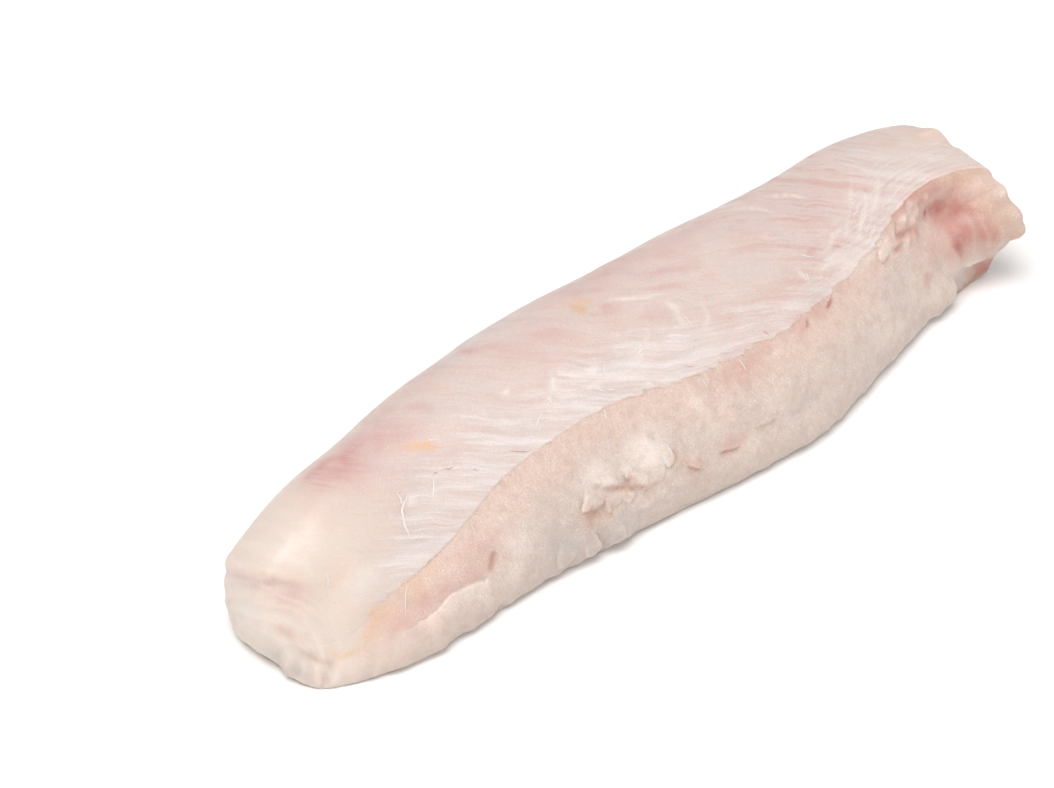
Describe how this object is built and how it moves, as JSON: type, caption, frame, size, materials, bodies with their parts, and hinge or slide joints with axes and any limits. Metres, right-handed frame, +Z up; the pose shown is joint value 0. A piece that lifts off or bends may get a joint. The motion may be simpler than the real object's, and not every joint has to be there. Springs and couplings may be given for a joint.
{
  "type": "hake loin",
  "caption": "Raw skinless fish loin: a long thick strip of pale flesh with a pearly sheath on top, a torn cut side, a blunt end and a hollowed end, lying flat.",
  "frame": {"origin": "centre of the loin's plan outline, on the surface it lies on", "axes": "+X along the loin from its narrow blunt end to its broad hollowed end, +Y away from the cut side, +Z up"},
  "size_m": [0.236, 0.0616, 0.0421],
  "materials": {
    "flesh": "moist raw white flesh, pearly sheath on top"
  },
  "bodies": {
    "root": {"loin": "flesh"}
  },
  "joints": []
}
